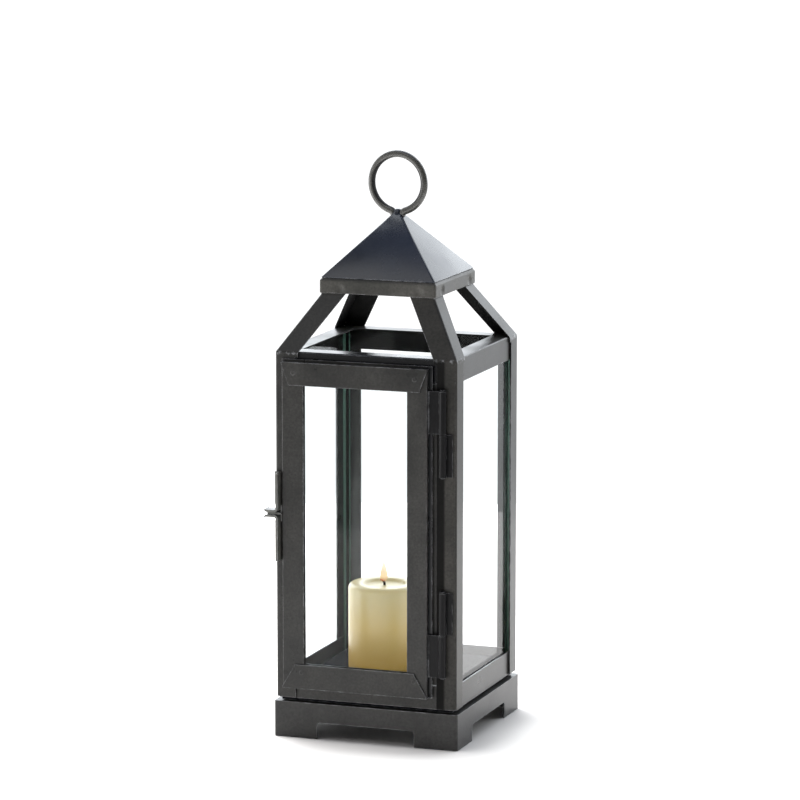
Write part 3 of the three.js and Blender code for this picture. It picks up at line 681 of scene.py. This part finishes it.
def make_stop_lugs():
    """The door stops run on up behind the lintel, so that no light shows beside the door's head."""
    overlap = 1 * MM
    setback = 0.9 * MM
    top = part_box("top_band_front")[0].z + 0.6 * MM
    for node in ("door_stop_left", "door_stop_right"):
        low, high = (Vector(corner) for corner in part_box(node))
        size = Vector((high.x - low.x, high.y - low.y, top - high.z + overlap))
        deselect()
        bpy.ops.mesh.primitive_cube_add(size=1, scale=size, location=(
            (low.x + high.x) / 2, (low.y + high.y) / 2 + setback, high.z - overlap + size.z / 2))
        lug = name_active(node.replace("stop", "stop_lug"))
        bpy.ops.object.transform_apply(location=True, rotation=True, scale=True)
        bpy.ops.object.mode_set(mode="EDIT")
        bpy.ops.mesh.select_all(action="SELECT")
        bpy.ops.mesh.bevel(offset=0.2 * MM, segments=2, affect="EDGES")
        bpy.ops.object.mode_set(mode="OBJECT")
        settle(lug, "frame", "painted_steel", FRAME_PAINT, smooth_deg=40)


def make_weld_dots():
    """Spot welds where the door's rails lie over its stiles: small dished studs."""
    top_low, top_high = (Vector(corner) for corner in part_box("door_rail_top"))
    foot_low, foot_high = (Vector(corner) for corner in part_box("door_rail_bottom"))
    face = top_low.y
    spots = [
        (top_low.x + 8 * MM, top_high.z - 6.6 * MM), (top_high.x - 8 * MM, top_high.z - 6.6 * MM),
        (foot_low.x + 13 * MM, foot_high.z - 5 * MM), (foot_high.x - 8.5 * MM, foot_high.z - 5 * MM),
    ]
    for number, (x, z) in enumerate(spots):
        dot = turned(f"rail_weld_{number}", 0, 0, [
            (1.8 * MM, -0.2 * MM), (1.6 * MM, 0.0), (1.2 * MM, 0.12 * MM), (0.9 * MM, 0.14 * MM),
            (0.6 * MM, 0.08 * MM), (0.3 * MM, 0.03 * MM),
        ], vertices=20)
        dot.rotation_euler = (math.pi / 2, 0, 0)
        dot.location = (x, face, z)
        settle(dot, "door", "painted_steel", WELD_PAINT, smooth_deg=60)


# ---- Glass --------------------------------------------------------------------


def make_pane(node, body):
    """A pane cut to the node's size, with eased edges; its narrow faces show green."""
    low, high = (Vector(corner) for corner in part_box(node))
    size = high - low
    thin = min(range(3), key=lambda axis: size[axis])
    deselect()
    bpy.ops.mesh.primitive_cube_add(size=1, location=(low + high) / 2, scale=size)
    pane = name_active(node.replace("pane", "glass"))
    bpy.ops.object.transform_apply(location=True, rotation=True, scale=True)
    bpy.ops.object.mode_set(mode="EDIT")
    bpy.ops.mesh.select_all(action="SELECT")
    bpy.ops.mesh.bevel(offset=0.25 * MM, segments=2, affect="EDGES")
    bpy.ops.object.mode_set(mode="OBJECT")
    settle(pane, body, "glass", GLASS, GLASS_EDGE)
    for face in pane.data.polygons:
        face.material_index = 0 if abs(face.normal[thin]) > 0.99 else 1
    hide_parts(node)


def glaze():
    for node, body in (("pane_left", "frame"), ("pane_right", "frame"), ("pane_rear", "frame"),
                       ("door_pane", "door")):
        make_pane(node, body)


# ---- Ring handle ----------------------------------------------------------------

ROD_RADIUS = 2.3 * MM
RING_RADIUS = 18.3 * MM
RING_TURN = math.radians(-6)
RING_SPREAD = 2.5 * MM
RING_FILLET = 4 * MM


def make_ring():
    """One rod: up out of the roof, bent out, round the eye, and down again beside itself."""
    low, high = (Vector(corner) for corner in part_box("ring_handle"))
    centre = Vector((AXIS[0], AXIS[1], high.z - RING_RADIUS - ROD_RADIUS))
    side = Vector((math.cos(RING_TURN), math.sin(RING_TURN), 0))
    facing = Vector((math.sin(RING_TURN), -math.cos(RING_TURN), 0))
    reach = RING_RADIUS + RING_FILLET
    out = RING_SPREAD + RING_FILLET
    drop = math.sqrt(reach * reach - out * out)
    lean = math.atan2(out, drop)
    start = Vector((AXIS[0], AXIS[1], low.z)) + side * RING_SPREAD
    deselect()
    bpy.ops.mesh.primitive_circle_add(vertices=24, radius=ROD_RADIUS, fill_type="NOTHING", location=start)
    ring = name_active("ring_handle_rod")
    bpy.ops.object.transform_apply(location=True, rotation=True, scale=True)
    bpy.ops.object.mode_set(mode="EDIT")
    bpy.ops.mesh.select_all(action="SELECT")
    rise = centre.z - drop - low.z
    bpy.ops.mesh.extrude_region_move(TRANSFORM_OT_translate={"value": (0, 0, rise)})
    right = centre + side * out - Vector((0, 0, drop))
    left = centre - side * out - Vector((0, 0, drop))
    quarter = math.pi / 2 - lean
    bpy.ops.mesh.spin(steps=8, angle=quarter, center=right, axis=facing)
    bpy.ops.mesh.spin(steps=80, angle=2 * math.pi - 2 * lean, center=centre, axis=-facing)
    bpy.ops.mesh.spin(steps=8, angle=quarter, center=left, axis=facing)
    bpy.ops.mesh.extrude_region_move(TRANSFORM_OT_translate={"value": (0, 0, -rise)})
    bpy.ops.mesh.select_all(action="SELECT")
    bpy.ops.mesh.remove_doubles(threshold=SAME)
    bpy.ops.mesh.select_non_manifold()
    bpy.ops.mesh.edge_face_add()
    bpy.ops.mesh.select_all(action="SELECT")
    bpy.ops.mesh.normals_make_consistent(inside=False)
    bpy.ops.object.mode_set(mode="OBJECT")
    settle(ring, "frame", "hinge_steel", ROD_PAINT_WITH_SHEEN, smooth_deg=40)
    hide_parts("ring_handle")


# ---- Candle -------------------------------------------------------------------


def make_candle():
    """A pillar with a rounded rim, hollowed at the top into a shallow pool round the wick."""
    low, high = (Vector(corner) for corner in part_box("candle_wax"))
    middle = (low + high) / 2
    radius = (high.x - low.x) / 2
    rim = 3.2 * MM
    shoulder = [
        (radius - rim + rim * math.cos(angle), high.z - rim + rim * math.sin(angle))
        for angle in (math.radians(step * 15) for step in range(7))
    ]
    rings = [(radius - 0.7 * MM, low.z), (radius - 0.2 * MM, low.z + 0.25 * MM), (radius, low.z + 0.9 * MM)]
    rings += shoulder
    rings += [
        (15.6 * MM, high.z - 0.02 * MM), (14.3 * MM, high.z - 0.25 * MM), (13.5 * MM, high.z - 0.8 * MM),
        (13.0 * MM, high.z - 1.5 * MM), (12.3 * MM, high.z - 2.0 * MM), (11.0 * MM, high.z - 2.2 * MM),
        (5.0 * MM, high.z - 2.25 * MM), (2.2 * MM, high.z - 2.1 * MM), (1.2 * MM, high.z - 1.8 * MM),
        (0.6 * MM, high.z - 1.7 * MM),
    ]
    wax = turned("candle_wax_body", middle.x, middle.y, rings, vertices=96)
    settle(wax, "candle", "wax", paraffin_wax(low.z, high.z), smooth_deg=50)
    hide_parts("candle_wax")


def make_wick():
    """A braided wick that leans and curls over at its burnt tip."""
    low, high = (Vector(corner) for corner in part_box("candle_wick"))
    middle = (low + high) / 2
    here = Vector((middle.x, middle.y, high.z - 8 * MM))
    deselect()
    bpy.ops.mesh.primitive_circle_add(vertices=16, radius=0.85 * MM, fill_type="NGON", location=here)
    wick = name_active("candle_wick_curl")
    bpy.ops.object.transform_apply(location=True, rotation=True, scale=True)
    bpy.ops.object.mode_set(mode="EDIT")
    bpy.ops.mesh.select_all(action="SELECT")
    for lean, rise, scale in ((0, 3.6, 1.0), (0.1, 1.0, 0.95), (0.3, 0.9, 1.08), (0.5, 0.7, 0.92),
                              (0.6, 0.5, 1.1), (0.6, 0.3, 0.9), (0.4, 0.1, 0.6)):
        step = Vector((-lean, -0.3 * lean, rise)) * MM
        here = here + step
        bpy.ops.mesh.extrude_region_move(TRANSFORM_OT_translate={"value": step})
        bpy.ops.transform.rotate(value=0.28 * lean, orient_axis="Y", center_override=here)
        bpy.ops.transform.resize(value=(scale, scale, scale), center_override=here)
    bpy.ops.mesh.select_all(action="SELECT")
    bpy.ops.mesh.normals_make_consistent(inside=False)
    bpy.ops.object.mode_set(mode="OBJECT")
    settle(wick, "candle", "wick", charred_cotton(here.z), smooth_deg=60)
    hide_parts("candle_wick")


def make_flame():
    """A teardrop flame round the wick's tip."""
    low, high = (Vector(corner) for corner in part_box("candle_wick"))
    middle = (low + high) / 2
    foot = high.z - 2.6 * MM
    length = 15.5 * MM
    rings = [(radius * MM, foot + level * length) for radius, level in (
        (0.3, 0.0), (1.3, 0.03), (2.0, 0.09), (2.35, 0.17), (2.4, 0.27), (2.2, 0.38), (1.85, 0.5),
        (1.4, 0.62), (0.95, 0.74), (0.55, 0.86), (0.25, 0.95), (0.05, 1.0))]
    flame = turned("candle_flame", middle.x - 0.5 * MM, middle.y, rings, vertices=24)
    settle(flame, "candle", "wax", candle_flame(foot, foot + length), smooth_deg=80)


# ---- Studio -------------------------------------------------------------------


def sky_patch(tree, azimuth, elevation, turn, rise, soft):
    """1 inside a soft-edged patch of the studio round the lantern, 0 outside it; all in degrees."""
    (turn_middle, turn_half), (rise_middle, rise_half) = turn, rise
    masks = []
    for angle, middle, half in ((azimuth, turn_middle, turn_half), (elevation, rise_middle, rise_half)):
        centre = math.radians(middle)
        off = add(tree, "ShaderNodeMath", {0: angle, 1: centre}, operation="SUBTRACT").outputs[0]
        if angle is azimuth:
            off = add(tree, "ShaderNodeMath", {0: off, 1: math.pi, 2: -math.pi}, operation="WRAP").outputs[0]
        away = add(tree, "ShaderNodeMath", {0: off}, operation="ABSOLUTE").outputs[0]
        node = add(tree, "ShaderNodeMapRange", {
            "Value": away, "From Min": math.radians(half + soft), "From Max": math.radians(half - soft),
        }, interpolation_type="SMOOTHSTEP")
        masks.append(node.outputs["Result"])
    return add(tree, "ShaderNodeMath", {0: masks[0], 1: masks[1]}, operation="MULTIPLY").outputs[0]


# Soft lights round the lantern: azimuth from the door towards the hinges, elevation, both (middle, half
# width) in degrees, softness of the edge, and the light that comes from there.
SOFT_LIGHTS = (
    ((180, 66), (31, 37), 9, (3.2, 3.35, 3.5)),
    ((-98, 36), (14, 30), 12, (1.25, 1.25, 1.25)),
    ((-20, 36), (52, 12), 8, (1.6, 1.6, 1.6)),
    ((-22, 22), (7, 7), 4, (0.9, 0.9, 0.9)),
    ((0, 200), (84, 20), 10, (0.14, 0.2, 0.42)),
    ((0, 200), (-45, 45), 3, (0.6, 0.6, 0.6)),
)
ROOM = (0.07, 0.07, 0.072)


def add_area(name, place, target, size, power):
    place, target = Vector(place), Vector(target)
    turn = (target - place).to_track_quat("-Z", "Y").to_euler()
    bpy.ops.object.light_add(type="AREA", location=place, rotation=turn)
    light = bpy.context.object
    light.name = name
    light.data.shape = "RECTANGLE"
    light.data.size, light.data.size_y = size
    light.data.energy = power
    light.visible_camera = False
    return light


def add_lights():
    """A weak low light from the left rims the candle and the ring; a wide one overhead is linked to the
    floor alone, which it bleaches, with a tight shadow under the plinth."""
    add_area("low_left_softbox", (-1.15, -0.62, 0.06), (0, 0, 0.2), (1.0, 0.5), 6)
    overhead = add_area("overhead_diffuser", (-0.7, 0.3, 2.2), (0, 0, 0), (1.6, 1.6), 170)
    overhead.visible_glossy = False
    lit = bpy.data.collections.new("lit_from_overhead")
    lit.objects.link(bpy.data.objects["studio_floor"])
    overhead.light_linking.receiver_collection = lit


def add_world():
    """The soft lights round the lantern light it and show in it; the camera itself sees only white."""
    world = bpy.data.worlds.new("studio")
    world.use_nodes = True
    bpy.context.scene.world = world
    tree = world.node_tree
    tree.nodes.clear()
    sky = add(tree, "ShaderNodeTexCoord").outputs["Generated"]
    way = add(tree, "ShaderNodeSeparateXYZ", {"Vector": sky})
    forward = add(tree, "ShaderNodeMath", {0: way.outputs["Y"], 1: -1.0}, operation="MULTIPLY").outputs[0]
    azimuth = add(tree, "ShaderNodeMath", {0: way.outputs["X"], 1: forward}, operation="ARCTAN2").outputs[0]
    elevation = add(tree, "ShaderNodeMath", {0: way.outputs["Z"]}, operation="ARCSINE").outputs[0]
    total = ROOM
    for turn, rise, soft, light in SOFT_LIGHTS:
        patch = sky_patch(tree, azimuth, elevation, turn, rise, soft)
        lit = add(tree, "ShaderNodeVectorMath", {0: light, "Scale": patch}, operation="SCALE")
        lit = lit.outputs["Vector"]
        total = add(tree, "ShaderNodeVectorMath", {0: total, 1: lit}, operation="ADD").outputs["Vector"]
    room = add(tree, "ShaderNodeBackground", {"Color": total, "Strength": 1.0})
    white = add(tree, "ShaderNodeBackground", {"Color": srgb("#ffffff"), "Strength": 1.2})
    sight = add(tree, "ShaderNodeLightPath").outputs["Is Camera Ray"]
    mixed = add(tree, "ShaderNodeMixShader", {"Fac": sight, 1: room.outputs[0], 2: white.outputs[0]})
    add(tree, "ShaderNodeOutputWorld", {"Surface": mixed.outputs[0]})


FLOOR_RADIUS = 750 * MM


def add_floor():
    """A disc just under the lantern's feet; past its edge the camera sees the white studio."""
    deselect()
    bpy.ops.mesh.primitive_circle_add(
        vertices=64, radius=FLOOR_RADIUS, fill_type="NGON", location=(0, 0, -0.2 * MM))
    floor = name_active("studio_floor")
    floor.data.materials.append(studio_floor())


# ---- Making -------------------------------------------------------------------

deselect()
add_camera()
finish_sheet_steel()
glaze()
make_skirt()
make_pyramid()
make_ring()
make_braze()
make_collars()
make_stop_lugs()
make_weld_dots()
make_candle()
make_wick()
make_flame()
add_world()
add_floor()
add_lights()
bpy.context.scene.view_settings.view_transform = "Standard"
